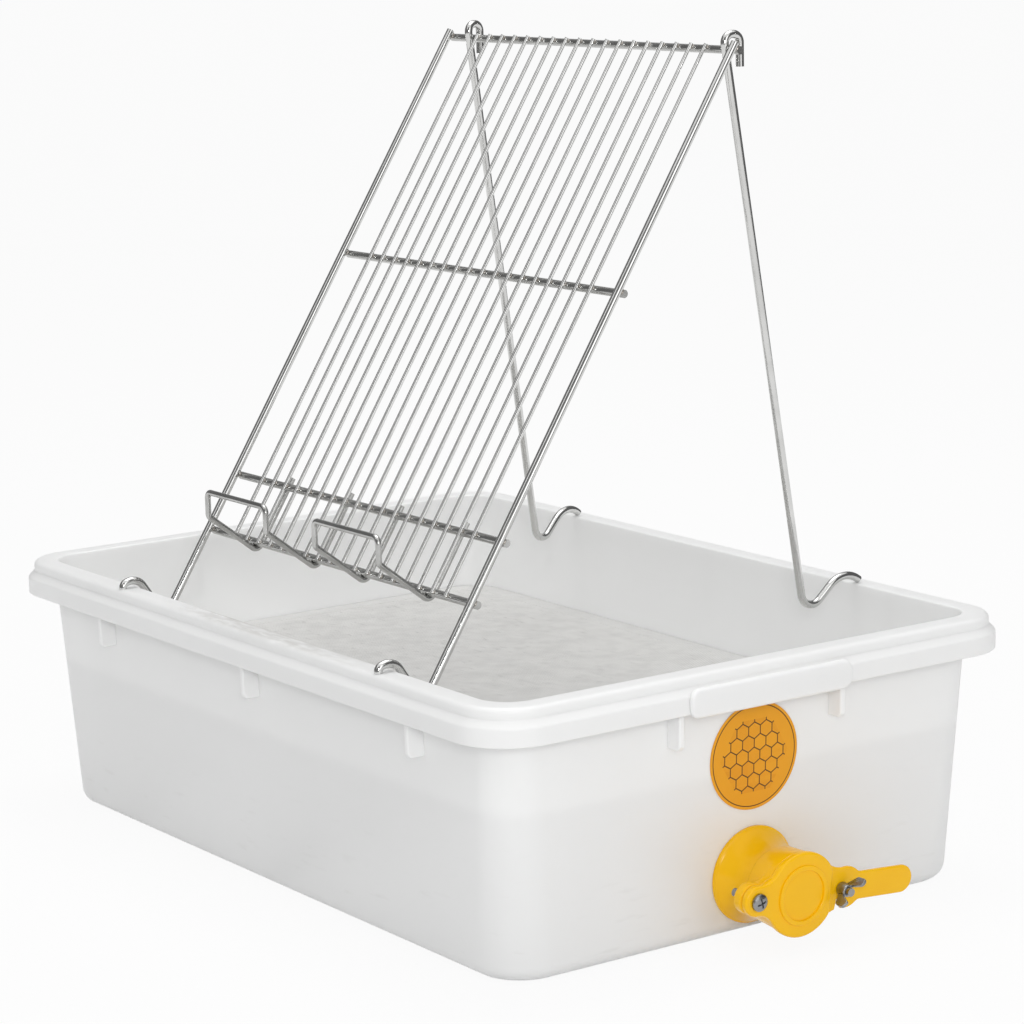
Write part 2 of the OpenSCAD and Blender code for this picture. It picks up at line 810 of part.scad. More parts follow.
module grid_wire(i) {
    x = grid_shift + (i - (grid_count + 1) / 2) * grid_pitch;
    low = bottom_bar_u - grid_overhang;
    color(steel)
        along(on_rack(x, -grid_back, low), u_dir)
            cylinder(h = top_bar_u + grid_overhang - low, d = grid_d);
}

module comb_rest(k) {
    a = k * rest_pitch / 2 - rest_width / 2;
    b = a + rest_width;
    up = [0, 0, rest_lip];
    color(steel)
        wire([
            on_rack(a, rest_leg_f, rest_top_u),
            on_rack(a, rest_leg_f, rest_low_u),
            on_rack(a, rest_front_f, rest_front_u),
            on_rack(a, rest_front_f, rest_front_u) + up,
            on_rack(b, rest_front_f, rest_front_u) + up,
            on_rack(b, rest_front_f, rest_front_u),
            on_rack(b, rest_leg_f, rest_low_u),
            on_rack(b, rest_leg_f, rest_top_u)
        ], [0, wrap_r, rest_bend_r, rest_bend_r, rest_bend_r, rest_bend_r, wrap_r, 0], rest_d);
}

module leg(x, a) {
    k = 1 / cos(a);
    bend = [leg_bend_y * k, leg_bend_z];
    lean_a = atan(bend[0] / -bend[1]) + asin(leg_offset / norm(bend));
    front = -leg_offset / cos(lean_a) - crook_rise * tan(lean_a);
    crook_r = (leg_offset - front - bend_flat) / (1 + tan(45 + lean_a / 2));
    // the arm rises from the bend, then one arch brings the square end down on the rim
    arm = [sin(leg_arm_lean), cos(leg_arm_lean)];
    fall = [cos(leg_tip_fall), -sin(leg_tip_fall)];
    tip = [leg_tip_y * k, rim_top + rest_gap + rod_d / 2 * cos(leg_tip_fall)];
    det = arm[0] * fall[1] - arm[1] * fall[0];
    run = ((tip[0] - bend[0]) * fall[1] - (tip[1] - bend[1]) * fall[0]) / det;
    peak = bend + arm * run;
    peak_r = (norm(tip - peak) - tip_flat) / tan(turn(arm, fall) / 2);
    flat = [
        [leg_offset, -crook_drop],
        [leg_offset, crook_rise],
        [front, crook_rise],
        bend,
        peak,
        tip
    ];
    color(steel)
        wire([for (p = flat) top_bar + [x + p[0] * sin(a), p[0] * cos(a), p[1]]],
            [0, crook_r, crook_r, leg_bend_r, peak_r, 0], rod_d);
}

tub();
label_disc();
gate_body();
gate_gasket();
gate_ring_nut();
gate_face_ring();
gate_plate();
pivot_screw();
pivot_nut();
clamp_stud();
wing_nut();
strainer_sheet();
strainer_foot(-1);  // strainer_foot_left
strainer_foot(1);  // strainer_foot_right
rail(-1);  // rail_left
rail(1);  // rail_right
bar(top_bar_u, top_bar_overhang);  // bar_top
bar(middle_bar_u, bar_overhang);  // bar_middle
bar(lower_bar_u, bar_overhang);  // bar_lower
bar(bottom_bar_u, bar_overhang);  // bar_bottom
comb_rest(-1);  // comb_rest_left
comb_rest(1);  // comb_rest_right
leg(left_leg_x, left_leg_turn);  // leg_left
leg(right_leg_x, right_leg_turn);  // leg_right
for (i = [1 : grid_count])
    grid_wire(i);
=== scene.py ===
import math
import bmesh
import bpy
from mathutils import Matrix, Vector


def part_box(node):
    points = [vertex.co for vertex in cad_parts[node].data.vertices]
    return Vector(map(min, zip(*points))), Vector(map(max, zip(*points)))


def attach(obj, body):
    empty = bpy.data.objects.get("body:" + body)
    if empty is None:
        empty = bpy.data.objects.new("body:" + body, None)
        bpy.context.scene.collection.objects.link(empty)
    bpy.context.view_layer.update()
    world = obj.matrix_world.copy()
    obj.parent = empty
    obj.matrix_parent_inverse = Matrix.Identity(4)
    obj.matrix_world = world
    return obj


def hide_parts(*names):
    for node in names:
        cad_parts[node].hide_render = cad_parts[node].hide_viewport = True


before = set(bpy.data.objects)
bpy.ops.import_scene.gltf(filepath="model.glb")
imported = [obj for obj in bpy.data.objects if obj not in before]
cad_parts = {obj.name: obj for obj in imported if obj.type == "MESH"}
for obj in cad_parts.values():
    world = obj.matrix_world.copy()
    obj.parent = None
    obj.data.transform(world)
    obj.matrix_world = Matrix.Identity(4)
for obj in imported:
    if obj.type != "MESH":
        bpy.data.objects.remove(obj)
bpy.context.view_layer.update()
scene = bpy.context.scene
mm = 0.001


# shader helpers: each takes a node tree and gives back an output socket

def newFinish(name):
    finish = bpy.data.materials.new(name)
    finish.use_nodes = True
    tree = finish.node_tree
    return finish, tree, tree.nodes["Principled BSDF"]


def feed(tree, socket, value):
    if isinstance(value, bpy.types.NodeSocket):
        tree.links.new(value, socket)
    else:
        socket.default_value = value


def calc(tree, operation, *values):
    node = tree.nodes.new("ShaderNodeMath")
    node.operation = operation
    for socket, value in zip(node.inputs, values):
        feed(tree, socket, value)
    return node.outputs[0]


def product(tree, value, *others):
    for other in others:
        value = calc(tree, "MULTIPLY", value, other)
    return value


def place(tree, scale=(1, 1, 1)):
    coords = tree.nodes.new("ShaderNodeTexCoord")
    mapping = tree.nodes.new("ShaderNodeMapping")
    mapping.inputs["Scale"].default_value = scale
    tree.links.new(coords.outputs["Object"], mapping.inputs["Vector"])
    return mapping.outputs["Vector"]


def axes(tree):
    coords = tree.nodes.new("ShaderNodeTexCoord")
    split = tree.nodes.new("ShaderNodeSeparateXYZ")
    tree.links.new(coords.outputs["Object"], split.inputs[0])
    return tuple(split.outputs)


def grain(tree, scale, detail=3, stretch=(1, 1, 1)):
    noise = tree.nodes.new("ShaderNodeTexNoise")
    noise.inputs["Scale"].default_value = scale
    noise.inputs["Detail"].default_value = detail
    tree.links.new(place(tree, stretch), noise.inputs["Vector"])
    return noise.outputs["Fac"]


def spread(tree, value, low, high, start=0.0, end=1.0):
    node = tree.nodes.new("ShaderNodeMapRange")
    for socket, number in zip(node.inputs, (value, low, high, start, end)):
        feed(tree, socket, number)
    return node.outputs[0]


def tint(tree, share, first, second):
    node = tree.nodes.new("ShaderNodeMix")
    node.data_type = "RGBA"
    feed(tree, node.inputs["Factor"], share)
    for socket, colour in zip((node.inputs[6], node.inputs[7]), (first, second)):
        feed(tree, socket, colour if isinstance(colour, bpy.types.NodeSocket) else (*colour, 1))
    return node.outputs[2]


def relief(tree, bsdf, height, depth, strength=1.0):
    bump = tree.nodes.new("ShaderNodeBump")
    bump.inputs["Strength"].default_value = strength
    bump.inputs["Distance"].default_value = depth
    tree.links.new(height, bump.inputs["Height"])
    tree.links.new(bump.outputs["Normal"], bsdf.inputs["Normal"])


# distance from the nearest point of a staggered lattice, as a share of its pitch: round, six-sided, cell id
def comb(tree, across, up, pitch):
    rows = math.sqrt(3)
    x = calc(tree, "DIVIDE", across, pitch)
    y = calc(tree, "DIVIDE", up, pitch)
    candidates = []
    for shift in (0.0, 0.5):
        gx = calc(tree, "SUBTRACT", calc(tree, "WRAP", calc(tree, "ADD", x, shift), 1, 0), 0.5)
        gy = calc(tree, "SUBTRACT", calc(tree, "WRAP", calc(tree, "ADD", y, shift * rows), rows, 0), rows / 2)
        reach = calc(tree, "SQRT", calc(tree, "ADD", calc(tree, "POWER", gx, 2), calc(tree, "POWER", gy, 2)))
        candidates.append((gx, gy, reach))
    (ax, ay, aReach), (bx, by, bReach) = candidates
    second = calc(tree, "LESS_THAN", bReach, aReach)
    gx = calc(tree, "ADD", ax, product(tree, second, calc(tree, "SUBTRACT", bx, ax)))
    gy = calc(tree, "ADD", ay, product(tree, second, calc(tree, "SUBTRACT", by, ay)))
    sideX = calc(tree, "ABSOLUTE", gx)
    sideY = calc(tree, "ABSOLUTE", gy)
    slant = calc(tree, "ADD", product(tree, sideX, 0.5), product(tree, sideY, rows / 2))
    joined = tree.nodes.new("ShaderNodeCombineXYZ")
    tree.links.new(calc(tree, "SUBTRACT", x, gx), joined.inputs[0])
    tree.links.new(calc(tree, "SUBTRACT", y, gy), joined.inputs[1])
    return calc(tree, "MINIMUM", aReach, bReach), calc(tree, "MAXIMUM", sideX, slant), joined.outputs[0]


# finishes: each look holds its colours, the scales and bands of its noise, shares, and sizes in metres

grainBand = (0.3, 0.7)
cloudBand = (0.35, 0.7)

waxyLook = {
    "base": (0.9, 0.903, 0.9), "shade": (0.865, 0.868, 0.862), "rough": (0.32, 0.42),
    # paler colours of the ribs: painted light
    "ribLitBase": (0.95, 0.952, 0.95), "ribLitTone": (0.93, 0.932, 0.928), "glow": 0.6, "depth": 0.004,
    "cloud": 7, "cloudShare": 0.35, "grain": 160, "grainShare": 2, "pebble": 700, "relief": (0.00004, 0.35),
}
# handling marks on the front rim between the hooks, darkest along its inner edge
stainLook = {
    "colour": (0.42, 0.4, 0.37), "front": -0.2, "left": (-0.1, -0.03), "right": (0.2, 0.08),
    "z": (0.1935, 0.1985), "top": (-0.2302, -0.2258), "topShare": 0.42,
    "edge": (-0.2148, -0.2126), "edgeShare": 0.6,
    "grain": 55, "stretch": (1, 3, 1), "band": (0.32, 0.58),
}
# scuffs low on the walls
scuffLook = {"grain": 30, "stretch": (1, 1, 5), "band": (0.62, 0.8), "z": (0.11, 0.01), "share": 0.16}


# thin: the ribs, painted paler than the walls; the paler colour is painted light, for the light that passes
# through their plastic
def waxyPlastic(name, thin=False):
    finish, tree, bsdf = newFinish(name)
    s, mark, scuff = waxyLook, stainLook, scuffLook
    # the ribs' paler colours are painted light
    base, shade = (s["ribLitBase"], s["ribLitTone"]) if thin else (s["base"], s["shade"])
    if not thin:
        bsdf.inputs["Subsurface Weight"].default_value = s["glow"]
        bsdf.inputs["Subsurface Radius"].default_value = (1, 1, 1)
        bsdf.inputs["Subsurface Scale"].default_value = s["depth"]
    cloudy = spread(tree, grain(tree, s["cloud"], 2), *cloudBand)
    fine = grain(tree, s["grain"], 4)
    colour = tint(tree, product(tree, cloudy, s["cloudShare"]), base, shade)
    x, y, z = axes(tree)
    along = product(tree, spread(tree, x, *mark["left"]), spread(tree, x, *mark["right"]))
    front = calc(tree, "LESS_THAN", y, mark["front"])
    marked = product(tree, along, front, spread(tree, z, *mark["z"]))
    patches = spread(tree, grain(tree, mark["grain"], 5, mark["stretch"]), *mark["band"])
    rubbed = product(tree, marked, spread(tree, y, *mark["top"]), patches, mark["topShare"])
    colour = tint(tree, rubbed, colour, mark["colour"])
    rubbed = product(tree, marked, spread(tree, y, *mark["edge"]), mark["edgeShare"])
    colour = tint(tree, rubbed, colour, mark["colour"])
    streak = spread(tree, grain(tree, scuff["grain"], 6, scuff["stretch"]), *scuff["band"])
    streak = product(tree, streak, spread(tree, z, *scuff["z"]), scuff["share"])
    colour = tint(tree, streak, colour, mark["colour"])
    tree.links.new(colour, bsdf.inputs["Base Color"])
    tree.links.new(spread(tree, fine, *grainBand, *s["rough"]), bsdf.inputs["Roughness"])
    height = calc(tree, "ADD", grain(tree, s["pebble"], 2), product(tree, fine, s["grainShare"]))
    relief(tree, bsdf, height, *s["relief"])
    return finish


yellowLook = {
    "base": (0.98, 0.555, 0.003), "deep": (0.96, 0.52, 0.002), "rough": (0.2, 0.25), "gloss": 0.3,
    "swirl": 28, "grain": 70, "wave": 60, "relief": (0.00005, 0.2),
}


def gateYellow():
    finish, tree, bsdf = newFinish("gateYellowPlastic")
    s = yellowLook
    swirl = spread(tree, grain(tree, s["swirl"], 3), *cloudBand)
    tree.links.new(tint(tree, swirl, s["base"], s["deep"]), bsdf.inputs["Base Color"])
    rough = spread(tree, grain(tree, s["grain"], 2), *grainBand, *s["rough"])
    tree.links.new(rough, bsdf.inputs["Roughness"])
    bsdf.inputs["Specular IOR Level"].default_value = s["gloss"]
    relief(tree, bsdf, grain(tree, s["wave"], 2), *s["relief"])
    return finish


steelLook = {"wear": 45, "wearBand": (0.32, 0.7), "lineBand": (0.3, 0.72), "pit": 400, "pitStrength": 0.5}


# lines: scale of the drawing marks; pits: depth of the pitting in millimetres
def brightSteel(name, base, deep, rough, lines=90, pits=0.0):
    finish, tree, bsdf = newFinish(name)
    s = steelLook
    bsdf.inputs["Metallic"].default_value = 1.0
    worn = spread(tree, grain(tree, s["wear"], 4), *s["wearBand"])
    tree.links.new(tint(tree, worn, base, deep), bsdf.inputs["Base Color"])
    tree.links.new(spread(tree, grain(tree, lines, 3), *s["lineBand"], *rough), bsdf.inputs["Roughness"])
    if pits > 0:
        relief(tree, bsdf, grain(tree, s["pit"], 3), pits * mm, s["pitStrength"])
    return finish


sheetLook = {
    "base": (0.77, 0.765, 0.748), "deep": (0.69, 0.685, 0.67), "rough": (0.45, 0.6), "metal": 0.25,
    # pit: the colour of the scuffs, and painted shade in the holes
    "pitch": 2.6, "hole": (0.19, 0.29), "holeShare": 0.6, "pit": (0.36, 0.355, 0.345), "flatAbove": 0.1195,
    "wear": 70, "wearBand": (0.36, 0.68),
    "scuff": 90, "scuffStretch": (1, 3, 1), "scuffBand": (0.6, 0.72), "scuffShare": 0.4,
    "border": (0.83, 0.827, 0.815), "borderX": (0.285, 0.312), "borderY": (0.178, 0.205), "borderShare": 0.7,
    "wave": 40, "waveShare": 0.4, "relief": (0.0004, 0.6),
}


def strainerSheet():
    finish, tree, bsdf = newFinish("strainerSheetSteel")
    s = sheetLook
    x, y, z = axes(tree)
    # the perforations are painted, not cut: dark dots of painted shade where the holes would show the dark
    # space below
    reach = comb(tree, x, y, s["pitch"] * mm)[0]
    flat = calc(tree, "GREATER_THAN", z, s["flatAbove"])
    hole = product(tree, spread(tree, reach, *s["hole"], 1, 0), flat)
    worn = spread(tree, grain(tree, s["wear"], 6), *s["wearBand"])
    scuff = spread(tree, grain(tree, s["scuff"], 6, s["scuffStretch"]), *s["scuffBand"])
    colour = tint(tree, worn, s["base"], s["deep"])
    colour = tint(tree, product(tree, scuff, s["scuffShare"]), colour, s["pit"])
    # painted shade in the holes
    colour = tint(tree, product(tree, hole, s["holeShare"]), colour, s["pit"])
    # bright plain border where the sheet meets the walls
    side = spread(tree, calc(tree, "ABSOLUTE", x), *s["borderX"])
    front = spread(tree, calc(tree, "ABSOLUTE", y), *s["borderY"])
    border = product(tree, calc(tree, "MAXIMUM", side, front), s["borderShare"])
    tree.links.new(tint(tree, border, colour, s["border"]), bsdf.inputs["Base Color"])
    bsdf.inputs["Metallic"].default_value = s["metal"]
    tree.links.new(spread(tree, worn, 0, 1, *s["rough"]), bsdf.inputs["Roughness"])
    height = calc(tree, "SUBTRACT", product(tree, grain(tree, s["wave"], 3), s["waveShare"]), hole)
    relief(tree, bsdf, height, *s["relief"])
    return finish


rubberLook = {
    "base": (0.018, 0.018, 0.018), "dust": (0.045, 0.043, 0.04), "rough": (0.55, 0.75),
    "cloud": 140, "grain": 900, "relief": (0.00005, 0.6),
}


def sealRubber():
    finish, tree, bsdf = newFinish("sealRubberBlack")
    s = rubberLook
    cloud = grain(tree, s["cloud"], 4)
    tree.links.new(tint(tree, cloud, s["base"], s["dust"]), bsdf.inputs["Base Color"])
    tree.links.new(spread(tree, cloud, *grainBand, *s["rough"]), bsdf.inputs["Roughness"])
    relief(tree, bsdf, grain(tree, s["grain"], 2), *s["relief"])
    return finish


stickerLook = {
    "paper": (0.86, 0.38, 0.013), "cell": (0.74, 0.28, 0.007), "ink": (0.07, 0.03, 0.008),
    "rough": (0.38, 0.5), "gloss": 0.3, "centre": (0.0018, 0.129), "ring": 0.0366,
    "line": (0.000245, 0.000455),
    "field": 0.0262, "pitch": 0.0105, "cellWall": (0.455, 0.47), "fill": (0.35, 0.95), "fillShare": 0.7,
    "cloud": 60, "cloudShare": 0.25, "grain": 300, "fibre": 500, "relief": (0.00003, 0.5),
}


def combSticker():
    finish, tree, bsdf = newFinish("combStickerFilm")
    s = stickerLook
    y, z = axes(tree)[1:]
    across = calc(tree, "SUBTRACT", y, s["centre"][0])
    up = calc(tree, "SUBTRACT", z, s["centre"][1])
    reach = calc(tree, "SQRT", calc(tree, "ADD", calc(tree, "POWER", across, 2), calc(tree, "POWER", up, 2)))
    off = calc(tree, "ABSOLUTE", calc(tree, "SUBTRACT", reach, s["ring"]))
    ring = spread(tree, off, *s["line"], 1, 0)
    # the comb fills a six-sided field
    side, cell = comb(tree, across, up, s["pitch"])[1:]
    sideX, sideY = calc(tree, "ABSOLUTE", across), calc(tree, "ABSOLUTE", up)
    slant = calc(tree, "ADD", product(tree, sideY, 0.5), product(tree, sideX, math.sqrt(3) / 2))
    inField = calc(tree, "LESS_THAN", calc(tree, "MAXIMUM", slant, sideY), s["field"])
    lines = product(tree, spread(tree, side, *s["cellWall"]), inField)
    pick = tree.nodes.new("ShaderNodeTexWhiteNoise")
    pick.noise_dimensions = "3D"
    tree.links.new(cell, pick.inputs["Vector"])
    filled = product(tree, spread(tree, pick.outputs["Value"], *s["fill"]), inField, s["fillShare"])
    cloud = product(tree, grain(tree, s["cloud"], 4), s["cloudShare"])
    colour = tint(tree, cloud, s["paper"], s["cell"])
    colour = tint(tree, filled, colour, s["cell"])
    colour = tint(tree, calc(tree, "MAXIMUM", ring, lines), colour, s["ink"])
    tree.links.new(colour, bsdf.inputs["Base Color"])
    rough = spread(tree, grain(tree, s["grain"], 2), *grainBand, *s["rough"])
    tree.links.new(rough, bsdf.inputs["Roughness"])
    bsdf.inputs["Specular IOR Level"].default_value = s["gloss"]
    relief(tree, bsdf, grain(tree, s["fibre"], 3), *s["relief"])
    return finish


finishes = {
    "tub": waxyPlastic("waxyTubPlastic"),
    "rib": waxyPlastic("waxyRibPlastic", True),
    "gate": gateYellow(),
    "rod": brightSteel("drawnRodSteel", (0.7, 0.7, 0.69), (0.6, 0.6, 0.59), (0.1, 0.17)),
    "bar": brightSteel("crossBarSteel", (0.56, 0.56, 0.55), (0.44, 0.44, 0.43), (0.16, 0.26)),
    "grid": brightSteel("gridWireSteel", (0.76, 0.76, 0.75), (0.68, 0.68, 0.67), (0.1, 0.16)),
    "weld": brightSteel("weldSteel", (0.5, 0.48, 0.45), (0.32, 0.29, 0.26), (0.22, 0.36), 300, 0.02),
    "fastener": brightSteel("fastenerSteel", (0.36, 0.36, 0.365), (0.24, 0.24, 0.245), (0.22, 0.34),
                            200, 0.02),
    "wing": brightSteel("wingNutSteel", (0.36, 0.36, 0.365), (0.2, 0.2, 0.205), (0.26, 0.42), 200, 0.03),
    "strainer": strainerSheet(),
    "seal": sealRubber(),
    "sticker": combSticker(),
}
print("finishes mixed:", len(finishes))


# mesh helpers: outlines are lists of 2D points, sizes in millimetres

def roundCorners(points, radii, steps=6, closed=False):
    count = len(points)
    result = []
    for i, (point, radius) in enumerate(zip(points, radii)):
        here = Vector(point[:2])
        rest = list(point[2:])
        if radius <= 0 or (not closed and i in (0, count - 1)):
            result.append((*here, *rest))
            continue
        back = (Vector(points[i - 1][:2]) - here).normalized()
        ahead = (Vector(points[(i + 1) % count][:2]) - here).normalized()
        half = back.angle(ahead) / 2
        away = radius / math.tan(half)
        centre = here + (back + ahead).normalized() * (radius / math.sin(half))
        first = here + back * away - centre
        last = here + ahead * away - centre
        turn = first.angle_signed(last)
        for k in range(steps + 1):
            a = -turn * k / steps
            c, s = math.cos(a), math.sin(a)
            arm = Vector((first.x * c - first.y * s, first.x * s + first.y * c))
            result.append((*(centre + arm), *rest))
    return result


def arcPoints(centre, radius, start, end, steps):
    points = []
    for k in range(steps + 1):
        a = math.radians(start + (end - start) * k / steps)
        points.append((centre[0] + radius * math.cos(a), centre[1] + radius * math.sin(a)))
    return points


def circle(centre, radius, steps=48):
    return arcPoints(centre, radius, 0, 360 * (steps - 1) / steps, steps - 1)


# stacks loops of the same length into a closed skin that faces out, with capped ends or joined into a ring
def skin(mesh, loops, ring=False):
    rows = [[mesh.verts.new(p) for p in loop] for loop in loops]
    count = len(rows[0])
    pairs = list(zip(rows, rows[1:]))
    if ring:
        pairs.append((rows[-1], rows[0]))
    made = []
    for low, high in pairs:
        for i in range(count):
            j = (i + 1) % count
            made.append(mesh.faces.new((low[i], low[j], high[j], high[i])))
    if not ring:
        made.append(mesh.faces.new(list(reversed(rows[0]))))
        made.append(mesh.faces.new(rows[-1]))
    for face in made:
        face.normal_update()
    # the enclosed volume is negative where the skin faces in
    if sum(face.calc_area() * face.normal.dot(face.verts[0].co) for face in made) < 0:
        bmesh.ops.reverse_faces(mesh, faces=made)


def inset(outline, amount):
    count = len(outline)
    result = []
    for i, (x, y) in enumerate(outline):
        ahead = Vector(outline[(i + 1) % count]) - Vector(outline[i - 1])
        side = Vector((-ahead.y, ahead.x)).normalized()
        result.append((x + side.x * amount, y + side.y * amount))
    return result


# plate with rounded edges, its outline anticlockwise, from low to high along the third axis
def plate(mesh, outline, low, high, edge, steps, place):
    loops = []
    for k in range(steps + 1):
        a = math.pi / 2 * k / steps
        loops.append((inset(outline, edge * (1 - math.sin(a))), low + edge * (1 - math.cos(a))))
    for k in range(steps + 1):
        a = math.pi / 2 * k / steps
        loops.append((inset(outline, edge * (1 - math.cos(a))), high - edge * (1 - math.sin(a))))
    skin(mesh, [[place @ (Vector((x, y, z)) * mm) for x, y in loop] for loop, z in loops])


# turns a closed outline of radius and height about the third axis
def lathe(mesh, outline, steps, place):
    loops = []
    for k in range(steps):
        a = math.tau * k / steps
        loops.append([place @ (Vector((r * math.cos(a), r * math.sin(a), z)) * mm) for r, z in outline])
    skin(mesh, loops, ring=True)


# sharp: angle in degrees above which an edge isn't smoothed
def makePiece(name, mesh, finish, body, sharp):
    data = bpy.data.meshes.new(name)
    mesh.to_mesh(data)
    mesh.free()
    data.shade_smooth()
    data.set_sharp_from_angle(angle=math.radians(sharp))
    piece = bpy.data.objects.new(name, data)
    scene.collection.objects.link(piece)
    data.materials.append(finish)
    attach(piece, body)
    return piece


# cuts an outline, stood up between two heights, out of a piece for good
def carve(piece, outline, heights, place, sharp):
    tool = bmesh.new()
    skin(tool, [[place @ (Vector((x, y, z)) * mm) for x, y in outline] for z in heights])
    data = bpy.data.meshes.new("carver")
    tool.to_mesh(data)
    tool.free()
    cutter = bpy.data.objects.new("carver", data)
    scene.collection.objects.link(cutter)
    cut = piece.modifiers.new("cut", "BOOLEAN")
    cut.object = cutter
    cut.solver = "EXACT"
    bpy.context.view_layer.update()
    result = bpy.data.meshes.new_from_object(piece.evaluated_get(bpy.context.evaluated_depsgraph_get()))
    piece.modifiers.clear()
    piece.data = result
    result.set_sharp_from_angle(angle=math.radians(sharp))
    bpy.data.objects.remove(cutter)
    bpy.data.meshes.remove(data)


# frame on an end wall: across, up the wall, out of it
def wallFrame(x, y, z, lean, turn=0.0):
    s, c = math.sin(lean), math.cos(lean)
    out = Matrix(((0, s, c, x * mm), (1, 0, 0, y * mm), (0, c, -s, z * mm), (0, 0, 0, 1)))
    return out @ Matrix.Rotation(math.radians(turn), 4, "Z")


# tub

tubShape = {
    "halfX": 322.0, "halfY": 215.3, "height": 200.0, "draft": 8.5, "wall": 3.5, "floor": 4.0, "foot": 12.0,
    "cornerTop": 28.0, "cornerFoot": 37.5, "cornerSteps": 20, "sideCuts": 14, "middle": 30.0,
    "lip": 14.5, "lipCorner": 38.0, "rim": 3.0, "edge": 4.0, "innerEdge": 1.5, "shoulder": 13.0, "step": 5.0,
    "skirt": 26.0, "crease": 7.0, "creaseDepth": 0.5, "creaseShare": 0.6, "creaseLow": 0.9, "creaseHigh": 1.3,
    "roundSteps": 7, "sharp": 50,
}
tubLean = math.atan(tubShape["draft"] / tubShape["height"])


def wallAt(z):
    return tubShape["halfX"] - tubShape["draft"] * (1 - z / tubShape["height"])


# the vertical corners are tighter at the top than at the foot
def cornerCentre(z):
    s = tubShape
    return wallAt(z) - s["cornerFoot"] - (s["cornerTop"] - s["cornerFoot"]) * z / s["height"]


def tubLoop(x, z, centre):
    s = tubShape
    r = max(x - centre, 1.0)
    y = x - s["halfX"] + s["halfY"]
    loop = []
    for k in range(4):
        sx = 1 if k in (0, 3) else -1
        sy = 1 if k < 2 else -1
        arc = arcPoints((sx * (x - r), sy * (y - r)), r, 90 * k, 90 * k + 90, s["cornerSteps"])
        loop += arc
        # cuts along the side that follows this corner
        end = [(-(x - r), y), (-x, -(y - r)), (x - r, -y), (x, y - r)][k]
        last = Vector(arc[-1])
        for j in range(1, s["sideCuts"]):
            p = last.lerp(Vector(end), j / s["sideCuts"])
            loop.append((p.x, p.y))
    return [Vector((px, py, z)) * mm for px, py in loop]


def buildTub():
    s, gate = tubShape, gateShape
    top = s["height"]
    footCentre, topCentre = cornerCentre(0), cornerCentre(top)
    lipX = s["halfX"] + s["lip"]
    lipCentre = lipX - s["lipCorner"]
    creaseZ = top - s["crease"]
    under = lipX + s["step"] - s["rim"]
    skirtX = lipX + s["step"]
    thin = lipX - s["rim"] - s["creaseDepth"]
    inner = -s["wall"]
    # outline of the moulding from the middle of the underside, over the rim, to the middle of the floor;
    # each row: reach, height, centre of the vertical corner, rounding
    corners = [
        (footCentre - s["middle"], 0, footCentre, 0),
        (wallAt(0), 0, footCentre, s["foot"]),
        (wallAt(top - s["rim"]), top - s["rim"], topCentre, 3),
        (thin, top - s["rim"], lipCentre, 1.5),
        (thin, creaseZ - s["rim"] / 2, lipCentre, 1),
        (under, top - s["shoulder"] - s["rim"] / 2, lipCentre, 2),
        (under, top - s["skirt"], lipCentre, 1.2),
        (skirtX, top - s["skirt"], lipCentre, 1.2),
        (skirtX, top - s["shoulder"], lipCentre, 3),
        (lipX, creaseZ - s["creaseLow"], lipCentre, 1.4),
        (lipX - s["creaseDepth"] * s["creaseShare"], creaseZ, lipCentre, 1.2),
        (lipX, creaseZ + s["creaseHigh"], lipCentre, 1.6),
        (lipX, top, lipCentre, s["edge"]),
        (wallAt(top) + inner, top, topCentre, s["innerEdge"]),
        (wallAt(s["floor"]) + inner, s["floor"], footCentre, s["foot"] - s["wall"]),
        (footCentre - s["middle"], s["floor"], footCentre, 0),
    ]
    outline = roundCorners([c[:3] for c in corners], [c[3] for c in corners], s["roundSteps"])
    mesh = bmesh.new()
    skin(mesh, [tubLoop(x, z, centre) for x, z, centre in outline])
    tub = makePiece("tubShell", mesh, finishes["tub"], "tub", s["sharp"])
    hole = wallFrame(gate["x"], gate["y"], gate["z"], tubLean)
    carve(tub, circle((0, 0), gate["tail"] / 2 + gate["holePlay"]), gate["holeCut"], hole, s["sharp"])
    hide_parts("tub")


ribShape = {
    "depth": 13.0, "thick": 5.0, "drop": 53.0, "pitchLong": 217.0, "shift": 9.0, "pitchEnd": 144.0,
    "root": 3.2, "noseIn": 2.5, "noseUp": 3.0, "flare": 1.2, "rounds": (1.5, 2.2, 2.2, 1.5, 1.5), "edge": 1.3,
    "sharp": 40,
}


def buildRibs():
    s = ribShape
    low = tubShape["height"] - s["drop"]
    high = tubShape["height"] - tubShape["rim"] / 2
    mesh = bmesh.new()
    ends = [(0, tubShape["halfX"], j * s["pitchEnd"] / 2, 0) for j in (-1, 1)]
    sides = [(90, tubShape["halfY"], j * s["pitchLong"], s["shift"]) for j in (-1, 0, 1)]
    for turn, half, along, shift in ends + sides:
        base = half - tubShape["draft"] * s["drop"] / tubShape["height"]
        nose = base + s["depth"]
        outline = [(base - s["root"], low), (nose - s["noseIn"], low), (nose, low + s["noseUp"]),
                   (nose + s["flare"], high), (half - s["root"], high)]
        soft = roundCorners(outline, s["rounds"], 4, True)
        for flip in (0, 180):
            upright = Matrix.Translation((shift * mm, 0, 0))
            upright = upright @ Matrix.Rotation(math.radians(turn + flip), 4, "Z")
            upright = upright @ Matrix.Translation((0, along * mm, 0))
            upright = upright @ Matrix.Rotation(math.radians(90), 4, "X")
            plate(mesh, soft, -s["thick"] / 2, s["thick"] / 2, s["edge"], 4, upright)
    makePiece("tubRibs", mesh, finishes["rib"], "tub", s["sharp"])


bandShape = {"length": 144.0, "height": 21.0, "proud": 3.0, "sunk": 2.6, "hang": 3.0, "corner": 8.0,
             "edge": 2.6, "sharp": 40}


